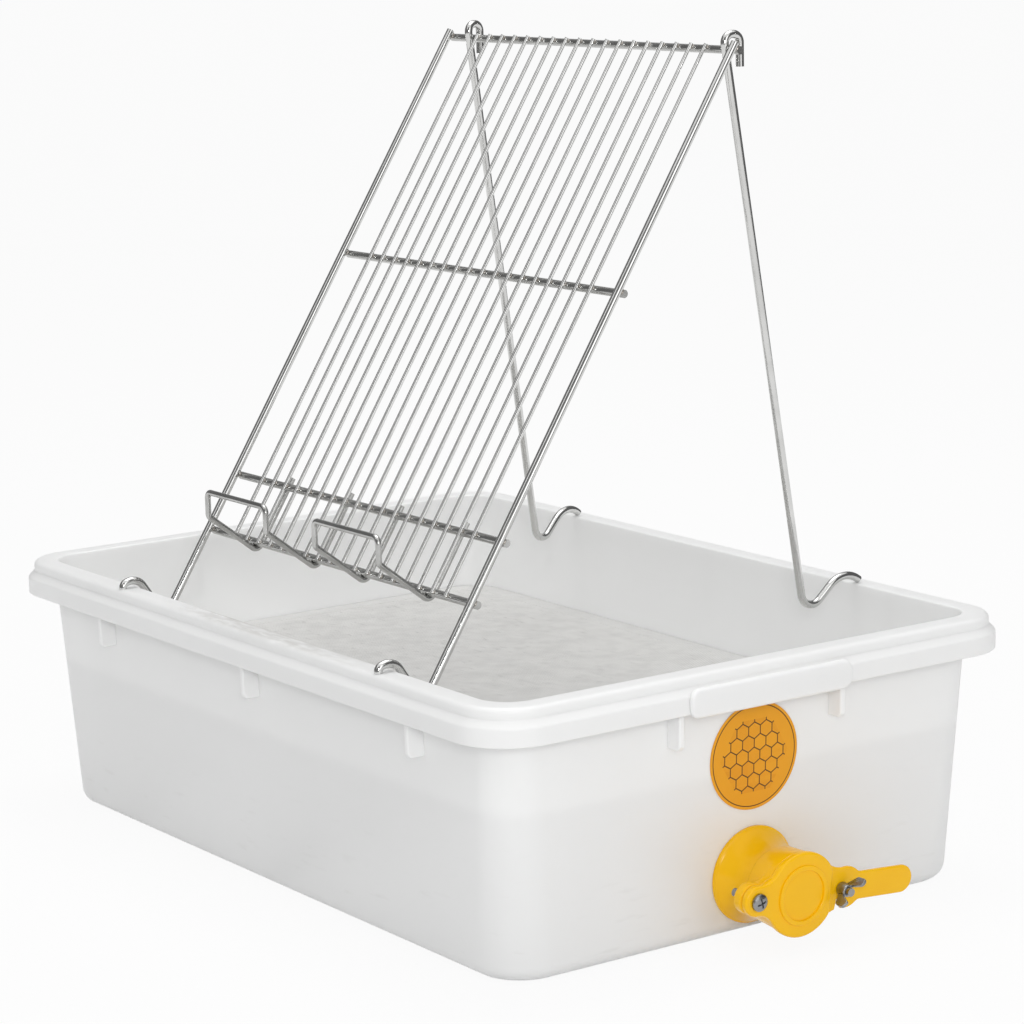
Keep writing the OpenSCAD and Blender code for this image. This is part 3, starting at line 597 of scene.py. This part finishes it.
def buildBands():
    s = bandShape
    skirtX = tubShape["halfX"] + tubShape["lip"] + tubShape["step"]
    middle = tubShape["height"] - tubShape["skirt"] - s["hang"] + s["height"] / 2
    box = [(-s["length"] / 2, -s["height"] / 2), (s["length"] / 2, -s["height"] / 2),
           (s["length"] / 2, s["height"] / 2), (-s["length"] / 2, s["height"] / 2)]
    outline = roundCorners(box, [s["corner"]] * 4, 10, True)
    mesh = bmesh.new()
    for flip in (0, 180):
        stand = Matrix.Rotation(math.radians(flip), 4, "Z") @ wallFrame(skirtX, 0, middle, 0)
        plate(mesh, outline, -s["sunk"], s["proud"], s["edge"], 6, stand)
    makePiece("gripBands", mesh, finishes["tub"], "tub", s["sharp"])


# honey gate: heights run out of the wall along the gate's own axis

gateShape = {
    "x": 315.3105, "y": 1.7, "z": 42.6, "turn": -4.5, "bore": 39.0, "tail": 45.0, "tailEnd": -14.5,
    "holePlay": 0.3, "holeCut": (-9, 6), "gasket": 1.04, "hollow": 32.3, "rimGap": 0.1,
    "flange": 70.6, "flangeFront": 3.0, "flangeRounds": (0, 0, 0, 0.4, 0.9, 0),
    "bell": 69.0, "bellLift": 0.3, "bellEnd": 23.0, "bellSteps": 24, "neck": 51.0,
    "collar": 56.0, "collarBack": 27.0, "collarStep": 1.0, "collarRounds": (0, 1.4, 2.4, 0, 0),
    "seat": 58.0, "seatBack": 42.0, "seatFront": 50.0, "seatLap": 2.0, "seatEar": 9.5, "seatEdge": 1.6,
    "seatLugBlend": 14.0, "seatEarBlend": 8.0, "groove": 46.2, "grooveDepth": 2.0,
    "lid": 61.2, "lidBack": 50.4, "lidFront": 56.4, "lidEdge": 1.2, "lidInset": 0.4, "leverFront": 54.0,
    "lugBlend": 16.0, "earBlend": 22.0, "leverBlend": 7.0, "leverTip": 93.0, "leverHalf": 10.0,
    "faceEdge": 1.9, "faceSunk": 0.2, "flat": 26.3, "flatSoft": 5.0, "flatShare": 0.8,
    "ring": 43.0, "ringWidth": 3.4, "ringRise": 1.4, "ringSunk": 0.6, "ringFoot": 0.2, "ringRound": 0.6,
    "lug": 11.0, "ear": 15.0, "pivot": -40.0, "earAt": 41.5, "stud": 36.5, "pin": 6.2,
    "slotHalf": 3.4, "slotSweep": 45, "over": 2.0, "turnSteps": 96, "sharp": 40, "ringSharp": 50,
}
threadShape = {"turns": 6, "end": 1.0, "start": 0.1, "depth": 1.0, "crest": 0.05, "rise": 0.35, "fall": 0.6}
gatePlace = wallFrame(gateShape["x"], gateShape["y"], gateShape["z"], tubLean, gateShape["turn"])


# middle of a fillet that touches two circles from outside, on the upper or lower side
def between(first, firstR, second, secondR, radius, side):
    a, b = Vector(first), Vector(second)
    gap = (b - a).length
    da, db = firstR + radius, secondR + radius
    along = (da * da - db * db + gap * gap) / (2 * gap)
    off = math.sqrt(max(da * da - along * along, 0))
    way = (b - a).normalized()
    return a + way * along + Vector((-way.y, way.x)) * off * side


def angleOf(centre, point):
    return math.degrees(math.atan2(point[1] - centre[1], point[0] - centre[0]))


def sweep(centre, radius, start, end, clockwise=False, step=6.0):
    if clockwise:
        while end > start:
            end -= 360
    else:
        while end < start:
            end += 360
    return arcPoints(centre, radius, start, end, max(2, int(abs(end - start) / step)))


def dropDoubles(points, nearest=0.05):
    clean = []
    for p in points:
        if not clean or (Vector(p) - Vector(clean[-1])).length > nearest:
            clean.append(p)
    if (Vector(clean[0]) - Vector(clean[-1])).length < nearest:
        clean.pop()
    return clean


# outline of a gate plate, anticlockwise: pivot lug, disc, clamp ear and, on the lid, the lever
def gateOutline(disc, lugR, lugBlend, earBlend, earAt, earR, lever):
    s = gateShape
    hub, lug, ear = (0, 0), (s["pivot"], 0), (earAt, 0)
    lugLow = between(lug, lugR, hub, disc, lugBlend, -1)
    lugHigh = between(lug, lugR, hub, disc, lugBlend, 1)
    earLow = between(hub, disc, ear, earR, earBlend, -1)
    earHigh = between(hub, disc, ear, earR, earBlend, 1)
    points = sweep(lug, lugR, angleOf(lug, lugHigh), angleOf(lug, lugLow))
    points += sweep(lugLow, lugBlend, angleOf(lugLow, lug), angleOf(lugLow, hub), True)
    points += sweep(hub, disc, angleOf(hub, lugLow), angleOf(hub, earLow))
    points += sweep(earLow, earBlend, angleOf(earLow, hub), angleOf(earLow, ear), True)
    if lever:
        blend = s["leverBlend"]
        rise = s["leverHalf"] + blend
        away = math.sqrt((earR + blend) ** 2 - rise ** 2)
        low = (ear[0] + away, -rise)
        high = (ear[0] + away, rise)
        points += sweep(ear, earR, angleOf(ear, earLow), angleOf(ear, low))
        points += sweep(low, blend, angleOf(low, ear), 90, True)
        points += sweep((s["leverTip"], 0), s["leverHalf"], -90, 90)
        points += sweep(high, blend, -90, angleOf(high, ear), True)
        points += sweep(ear, earR, angleOf(ear, high), angleOf(ear, earHigh))
    else:
        points += sweep(ear, earR, angleOf(ear, earLow), angleOf(ear, earHigh))
    points += sweep(earHigh, earBlend, angleOf(earHigh, ear), angleOf(earHigh, hub), True)
    points += sweep(hub, disc, angleOf(hub, earHigh), angleOf(hub, lugHigh))
    points += sweep(lugHigh, lugBlend, angleOf(lugHigh, hub), angleOf(lugHigh, lug), True)
    return dropDoubles(points)


def buildGateBody():
    s, thread = gateShape, threadShape
    bore, tail, neck = s["bore"] / 2, s["tail"] / 2, s["neck"] / 2
    flange, bell = s["flange"] / 2, s["bell"] / 2
    root, crest = tail - thread["depth"], tail - thread["crest"]
    outline = [(bore, s["tailEnd"])]
    pitch = (-s["gasket"] - thread["end"] - s["tailEnd"]) / thread["turns"]
    for k in range(thread["turns"]):
        z = s["tailEnd"] + pitch * k
        outline += [(root, z + thread["start"]), (crest, z + pitch * thread["rise"]),
                    (crest, z + pitch * thread["fall"])]
    outline.append((crest, s["gasket"]))
    # the flange is hollowed for the gasket and closes on the wall round it
    front = s["flangeFront"]
    lift = front + s["bellLift"]
    hollow = [(tail, s["gasket"]), (s["hollow"], s["gasket"]), (s["hollow"], s["rimGap"]),
              (flange, s["rimGap"]), (flange, front), (bell, lift)]
    outline += roundCorners(hollow, s["flangeRounds"], 5)
    for k in range(1, s["bellSteps"] + 1):
        share = k / s["bellSteps"]
        outline.append((neck + (bell - neck) * (1 - share) ** 2, lift + (s["bellEnd"] - front) * share))
    # waist, rounded shoulder of the collar, and the collar up to the seat plate
    back, step, collar, seat = s["collarBack"], s["collarStep"], s["collar"] / 2, s["seat"] / 2
    under = s["seatBack"] + s["seatLap"]
    shoulder = [(neck, s["bellEnd"] + step), (neck, back), (collar, back + step),
                (seat, under), (bore, under)]
    outline += roundCorners(shoulder, s["collarRounds"], 6)
    mesh = bmesh.new()
    lathe(mesh, outline, s["turnSteps"], gatePlace)
    body = makePiece("gateBody", mesh, finishes["gate"], "tub", s["sharp"])
    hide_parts("gate_body")
    # seat plate with its bore, the groove of the face ring and the two bolt holes
    mesh = bmesh.new()
    line = gateOutline(seat, s["lug"], s["seatLugBlend"], s["seatEarBlend"], s["stud"], s["seatEar"], False)
    plate(mesh, line, s["seatBack"], s["seatFront"], s["seatEdge"], 5, gatePlace)
    seatPlate = makePiece("gateSeat", mesh, finishes["gate"], "tub", s["sharp"])
    past = s["seatBack"] - s["over"]
    cuts = [(0, s["bore"], past), (0, s["groove"], s["seatFront"] - s["grooveDepth"])]
    cuts += [(x, s["pin"], past) for x in (s["pivot"], s["stud"])]
    for x, diameter, low in cuts:
        ring = circle((x, 0), diameter / 2, s["turnSteps"])
        carve(seatPlate, ring, (low, s["seatFront"] + s["over"]), gatePlace, s["sharp"])


# outline of the lid's raised face: disc with one flat side, its corners softened, and the pivot lug
def raisedOutline(disc, flat, lugBlend, soft):
    s = gateShape
    hub, lug = (0, 0), (s["pivot"], 0)
    lugLow = between(lug, s["lug"], hub, disc, lugBlend, -1)
    lugHigh = between(lug, s["lug"], hub, disc, lugBlend, 1)
    corner = math.degrees(math.acos(flat / disc))
    points = sweep(hub, disc, corner + soft, angleOf(hub, lugHigh))
    points += sweep(lugHigh, lugBlend, angleOf(lugHigh, hub), angleOf(lugHigh, lug), True)
    points += sweep(lug, s["lug"], angleOf(lug, lugHigh), angleOf(lug, lugLow))
    points += sweep(lugLow, lugBlend, angleOf(lugLow, lug), angleOf(lugLow, hub), True)
    points += sweep(hub, disc, angleOf(hub, lugLow), -corner - soft)
    edge = math.sqrt(disc ** 2 - flat ** 2)
    first, last = Vector(points[0]), Vector(points[-1])
    for sign in (-1, 1):
        bend = Vector((flat, sign * edge))
        inner = Vector((flat, sign * edge * s["flatShare"]))
        start, end = (last, inner) if sign < 0 else (inner, first)
        for k in range(7):
            t = k / 6
            p = start.lerp(bend, t).lerp(bend.lerp(end, t), t)
            points.append((p.x, p.y))
    return dropDoubles(points)


def buildGateLid():
    s = gateShape
    through = (s["lidBack"] - s["over"], s["lidFront"] + s["over"])
    mesh = bmesh.new()
    rim, lug = s["lid"] / 2 - s["lidInset"], s["lug"] - s["lidInset"]
    line = gateOutline(rim, lug, s["lugBlend"], s["earBlend"], s["earAt"], s["ear"], True)
    plate(mesh, line, s["lidBack"], s["leverFront"], s["lidEdge"], 5, gatePlace)
    lid = makePiece("gateLid", mesh, finishes["gate"], "gate_plate", s["sharp"])
    # the disc and the lug stand proud of the ear and the lever
    mesh = bmesh.new()
    raised = raisedOutline(s["lid"] / 2, s["flat"], s["lugBlend"], s["flatSoft"])
    plate(mesh, raised, s["lidBack"] + s["faceSunk"], s["lidFront"], s["faceEdge"], 6, gatePlace)
    face = makePiece("gateLidDisc", mesh, finishes["gate"], "gate_plate", s["sharp"])
    for piece in (lid, face):
        carve(piece, circle((s["pivot"], 0), s["pin"] / 2), through, gatePlace, s["sharp"])
    # slot for the stud, open at the lower side, so that the lid can lift off it
    reach, half, turn = s["stud"] - s["pivot"], s["slotHalf"], s["slotSweep"]
    slotLine = arcPoints((s["pivot"], 0), reach + half, -turn, 0, 24)
    slotLine += arcPoints((s["stud"], 0), half, 0, 180, 12)[1:-1]
    slotLine += arcPoints((s["pivot"], 0), reach - half, 0, -turn, 24)
    carve(lid, slotLine, through, gatePlace, s["sharp"])
    # raised ring with soft edges
    outer, inner, foot = s["ring"] / 2, s["ring"] / 2 - s["ringWidth"], s["ringFoot"]
    low, high = s["lidFront"] - s["ringSunk"], s["lidFront"] + s["ringRise"]
    bead = [(inner - foot, low), (outer + foot, low), (outer, high), (inner, high)]
    mesh = bmesh.new()
    bead = roundCorners(bead, [0, 0, s["ringRound"], s["ringRound"]], 5, True)
    lathe(mesh, bead, s["turnSteps"], gatePlace)
    makePiece("gateLidRing", mesh, finishes["gate"], "gate_plate", s["ringSharp"])
    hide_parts("gate_plate")


# hub and wing: outlines of radius and height
wingShape = {
    "hub": ((3.1, 0), (5.25, 0), (4.2, 7.5), (3.1, 7.5)), "hubRounds": (0, 0.8, 1.2, 0.4),
    "wing": ((3.5, 1.2), (5.25, 1.8), (13.1, 6.4), (13.4, 14.0), (8.0, 15.2), (4.4, 6.7), (3.5, 6.5)),
    "wingRounds": (0.4, 3, 2.6, 2.2, 2.4, 1.2, 0.4), "thick": 2.4, "edge": 0.7,
    "turn": 41.0, "low": 54.4, "sharp": 40,
}


def buildWingNut():
    s = wingShape
    spot = gatePlace @ Matrix.Translation((gateShape["stud"] * mm, 0, s["low"] * mm))
    spot = spot @ Matrix.Rotation(math.radians(s["turn"]), 4, "Z")
    mesh = bmesh.new()
    lathe(mesh, roundCorners(s["hub"], s["hubRounds"], 4, True), 48, spot)
    outline = roundCorners(s["wing"], s["wingRounds"], 6, True)
    for flip in (0, 180):
        stand = spot @ Matrix.Rotation(math.radians(flip), 4, "Z") @ Matrix.Rotation(math.radians(90), 4, "X")
        plate(mesh, outline, -s["thick"] / 2, s["thick"] / 2, s["edge"], 4, stand)
    nut = makePiece("wingNut", mesh, finishes["wing"], "wing_nut", s["sharp"])
    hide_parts("wing_nut")


borderShape = {"width": 16.0, "thick": 0.8, "proud": 0.15, "gap": 0.1, "sharp": 30}


# plain border of the strainer, up to the walls
def buildStrainerBorder():
    s = borderShape
    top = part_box("strainer_sheet")[1][2] / mm
    reach = wallAt(top) - tubShape["wall"] - s["gap"]
    centre = cornerCentre(top)
    high, low = top + s["proud"], top + s["proud"] - s["thick"]
    sides = [(reach, high), (reach, low), (reach - s["width"], low), (reach - s["width"], high)]
    mesh = bmesh.new()
    skin(mesh, [tubLoop(x, z, centre) for x, z in sides], True)
    makePiece("strainerBorder", mesh, finishes["strainer"], "strainer", s["sharp"])


buildTub()
buildRibs()
buildBands()
print("tub moulded")
buildStrainerBorder()
buildGateBody()
buildGateLid()
buildWingNut()
print("honey gate built")


# rack welds, in the rack's own frame: across, forward out of the rack, up along the rails

rackShape = {
    "lean": 32.7, "base": (11.0, -170.4811, 200.0), "rod": 6.0, "grid": 3.0, "rest": 4.5, "gap": 0.04,
    "bars": (45.9, 94.0, 291.2, 488.5), "rail": 180.25, "wires": 18, "pitch": 17.0, "shift": 2.0,
    "restPitch": 152.6, "restWidth": 84.6,
}
weldShape = {"grid": (1.9, 0.9, 1.8), "rail": (2.6, 1.1, 2.6), "rest": (2.1, 1.0, 2.2), "sharp": 60}


def onRack(across, forward, up):
    lean = math.radians(rackShape["lean"])
    x, y, z = rackShape["base"]
    return Vector((x + across, y - math.cos(lean) * forward + math.sin(lean) * up,
                   z + math.sin(lean) * forward + math.cos(lean) * up)) * mm


def nugget(mesh, spot, sizes):
    tilt = Matrix.Rotation(math.radians(-rackShape["lean"]), 4, "X")
    shape = Matrix.Translation(spot) @ tilt @ Matrix.Diagonal((*[v * mm for v in sizes], 1))
    bmesh.ops.create_uvsphere(mesh, u_segments=14, v_segments=10, radius=1.0, matrix=shape)


# the spheres' corners, edges and faces come in another order each run, so they are sorted by place
def putInOrder(mesh):
    spots = ((mesh.verts, lambda v: v.co), (mesh.edges, lambda e: e.verts[0].co + e.verts[1].co),
             (mesh.faces, lambda f: f.calc_center_median()))
    for parts, spot in spots:
        for i, part in enumerate(sorted(parts, key=lambda p: tuple(spot(p)))):
            part.index = i
        parts.sort()


def buildWelds():
    s = rackShape
    mesh = bmesh.new()
    barAxis = s["rod"] + s["gap"]
    touch = -(barAxis - s["rod"] / 2 - s["gap"] / 2)
    for up in s["bars"]:
        for i in range(s["wires"]):
            across = s["shift"] + (i - (s["wires"] - 1) / 2) * s["pitch"]
            nugget(mesh, onRack(across, touch, up), weldShape["grid"])
        for side in (-1, 1):
            nugget(mesh, onRack(side * s["rail"], touch, up), weldShape["rail"])
    behind = -(barAxis + s["rod"] / 2 + s["gap"] / 2)
    for middle in (-1, 1):
        for side in (-1, 1):
            across = middle * s["restPitch"] / 2 + side * s["restWidth"] / 2
            nugget(mesh, onRack(across, behind, s["bars"][1]), weldShape["rest"])
    putInOrder(mesh)
    makePiece("rackWelds", mesh, finishes["weld"], "rack", weldShape["sharp"])


buildWelds()
print("rack welded")


# finishes on the nodes that stay

nodeFinish = {
    "label_disc": "sticker", "gate_gasket": "seal", "gate_face_ring": "seal", "gate_ring_nut": "gate",
    "pivot_screw": "fastener", "pivot_nut": "fastener", "clamp_stud": "fastener",
    "strainer_sheet": "strainer",
}
wireFinish = (("grid_wire", "grid"), ("bar_", "bar"), ("comb_rest", "bar"))
for name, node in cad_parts.items():
    wire = next((kind for start, kind in wireFinish if name.startswith(start)), "rod")
    node.data.materials.clear()
    node.data.materials.append(finishes[nodeFinish.get(name, wire)])
print("finishes on the frame's own nodes")


# camera, floor and light

shot = {"azimuth": 54.84, "elevation": 10.88, "roll": -1.29, "distance": 2.69269,
        "target": (-0.12023, 0.11002, 0.22439), "focal": 3297.44, "frame": 1024, "sensor": 36.0,
        "clipEnd": 200}


def setCamera():
    s = shot
    a, e, r = (math.radians(s[k]) for k in ("azimuth", "elevation", "roll"))
    back = Vector((math.sin(a) * math.cos(e), -math.cos(a) * math.cos(e), math.sin(e)))
    right = Vector((math.cos(a), math.sin(a), 0))
    up = right.cross(-back)
    side = right * math.cos(r) + up * math.sin(r)
    head = up * math.cos(r) - right * math.sin(r)
    eye = Vector(s["target"]) + back * s["distance"]
    data = bpy.data.cameras.new("productCamera")
    data.sensor_width = s["sensor"]
    data.lens = s["focal"] * s["sensor"] / s["frame"]
    data.clip_end = s["clipEnd"]
    camera = bpy.data.objects.new("productCamera", data)
    scene.collection.objects.link(camera)
    camera.matrix_world = Matrix((
        (side.x, head.x, back.x, eye.x),
        (side.y, head.y, back.y, eye.y),
        (side.z, head.z, back.z, eye.z),
        (0, 0, 0, 1),
    ))
    scene.camera = camera


floorLook = {"size": 240.0, "drop": 0.0005, "colour": (0.8, 0.8, 0.8), "rough": 0.9, "glow": 0.92}


# rays that should meet a plain white background
def whiteRays(tree):
    light = tree.nodes.new("ShaderNodeLightPath")
    seen = calc(tree, "MAXIMUM", light.outputs["Is Camera Ray"], light.outputs["Is Glossy Ray"])
    return calc(tree, "MAXIMUM", seen, light.outputs["Is Transmission Ray"])


def layFloor():
    s = floorLook
    mesh = bmesh.new()
    bmesh.ops.create_grid(mesh, x_segments=2, y_segments=2, size=s["size"] / 2)
    data = bpy.data.meshes.new("studioFloor")
    mesh.to_mesh(data)
    mesh.free()
    floor = bpy.data.objects.new("studioFloor", data)
    floor.location.z = -s["drop"]
    scene.collection.objects.link(floor)
    finish, tree, bsdf = newFinish("studioFloorPaper")
    bsdf.inputs["Base Color"].default_value = (*s["colour"], 1)
    bsdf.inputs["Roughness"].default_value = s["rough"]
    glow = tree.nodes.new("ShaderNodeEmission")
    glow.inputs["Color"].default_value = (1, 1, 1, 1)
    mix = tree.nodes.new("ShaderNodeMixShader")
    tree.links.new(calc(tree, "MULTIPLY", whiteRays(tree), s["glow"]), mix.inputs[0])
    tree.links.new(bsdf.outputs[0], mix.inputs[1])
    tree.links.new(glow.outputs[0], mix.inputs[2])
    tree.links.new(mix.outputs[0], tree.nodes["Material Output"].inputs["Surface"])
    data.materials.append(finish)


# light on the object, and the white that camera and gloss see
skyLook = {"light": 0.59, "seen": 1.0}


def setWorld():
    world = bpy.data.worlds.new("studioWorld")
    world.use_nodes = True
    scene.world = world
    tree = world.node_tree
    sky = tree.nodes["Background"]
    sky.inputs["Color"].default_value = (1, 1, 1, 1)
    strength = spread(tree, whiteRays(tree), 0, 1, skyLook["light"], skyLook["seen"])
    tree.links.new(strength, sky.inputs["Strength"])


lamps = {
    "endPanel": {"at": (2.9, -0.2, 1.3), "size": (1.0, 1.8), "power": 5.8},
    "frontPanel": {"at": (2.3, -1.5, 1.0), "size": (0.45, 0.45), "power": 14.4},
    "sidePanel": {"at": (0.0, -2.4, 2.2), "size": (1.0, 1.0), "power": 3.2},
    "topPanel": {"at": (-0.2, 0.3, 2.8), "size": (1.6, 1.6), "power": 25},
}
lampAim = (0, 0, 0.2)


def hangLamps():
    for name, s in lamps.items():
        data = bpy.data.lights.new(name, "AREA")
        data.shape = "RECTANGLE"
        data.size, data.size_y = s["size"]
        data.energy = s["power"]
        lamp = bpy.data.objects.new(name, data)
        lamp.location = s["at"]
        lamp.rotation_euler = (Vector(lampAim) - Vector(s["at"])).to_track_quat("-Z", "Y").to_euler()
        scene.collection.objects.link(lamp)


# grey cards round the set, which only the metal and the gloss see
# angles from the camera's side, right is positive
cards = {
    "studioCardLeft": {"from": -165, "to": 16, "grey": 0.2},
    "studioCardRight": {"from": 52, "to": 165, "grey": 0.14},
    "studioCardBack": {"from": 165, "to": 195, "grey": 0.55},
}
cardReach, cardHeight, cardSteps = 4.5, 5.0, 24


def standCards():
    for name, s in cards.items():
        finish = bpy.data.materials.new(name)
        finish.use_nodes = True
        tree = finish.node_tree
        glow = tree.nodes.new("ShaderNodeEmission")
        glow.inputs["Color"].default_value = (s["grey"], s["grey"], s["grey"], 1)
        tree.links.new(glow.outputs[0], tree.nodes["Material Output"].inputs["Surface"])
        mesh = bmesh.new()
        rows = []
        for k in range(cardSteps + 1):
            a = math.radians(shot["azimuth"] - 90 + s["from"] + (s["to"] - s["from"]) * k / cardSteps)
            foot = Vector((math.cos(a), math.sin(a), 0)) * cardReach
            rows.append([mesh.verts.new(foot), mesh.verts.new(foot + Vector((0, 0, cardHeight)))])
        for first, second in zip(rows, rows[1:]):
            mesh.faces.new((first[0], second[0], second[1], first[1]))
        data = bpy.data.meshes.new(name)
        mesh.to_mesh(data)
        mesh.free()
        data.materials.append(finish)
        card = bpy.data.objects.new(name, data)
        scene.collection.objects.link(card)
        card.visible_camera = False
        card.visible_diffuse = False
        card.visible_transmission = False
        card.visible_shadow = False


setCamera()
layFloor()
standCards()
setWorld()
hangLamps()
scene.view_settings.view_transform = "Standard"
print("camera, floor and light set")
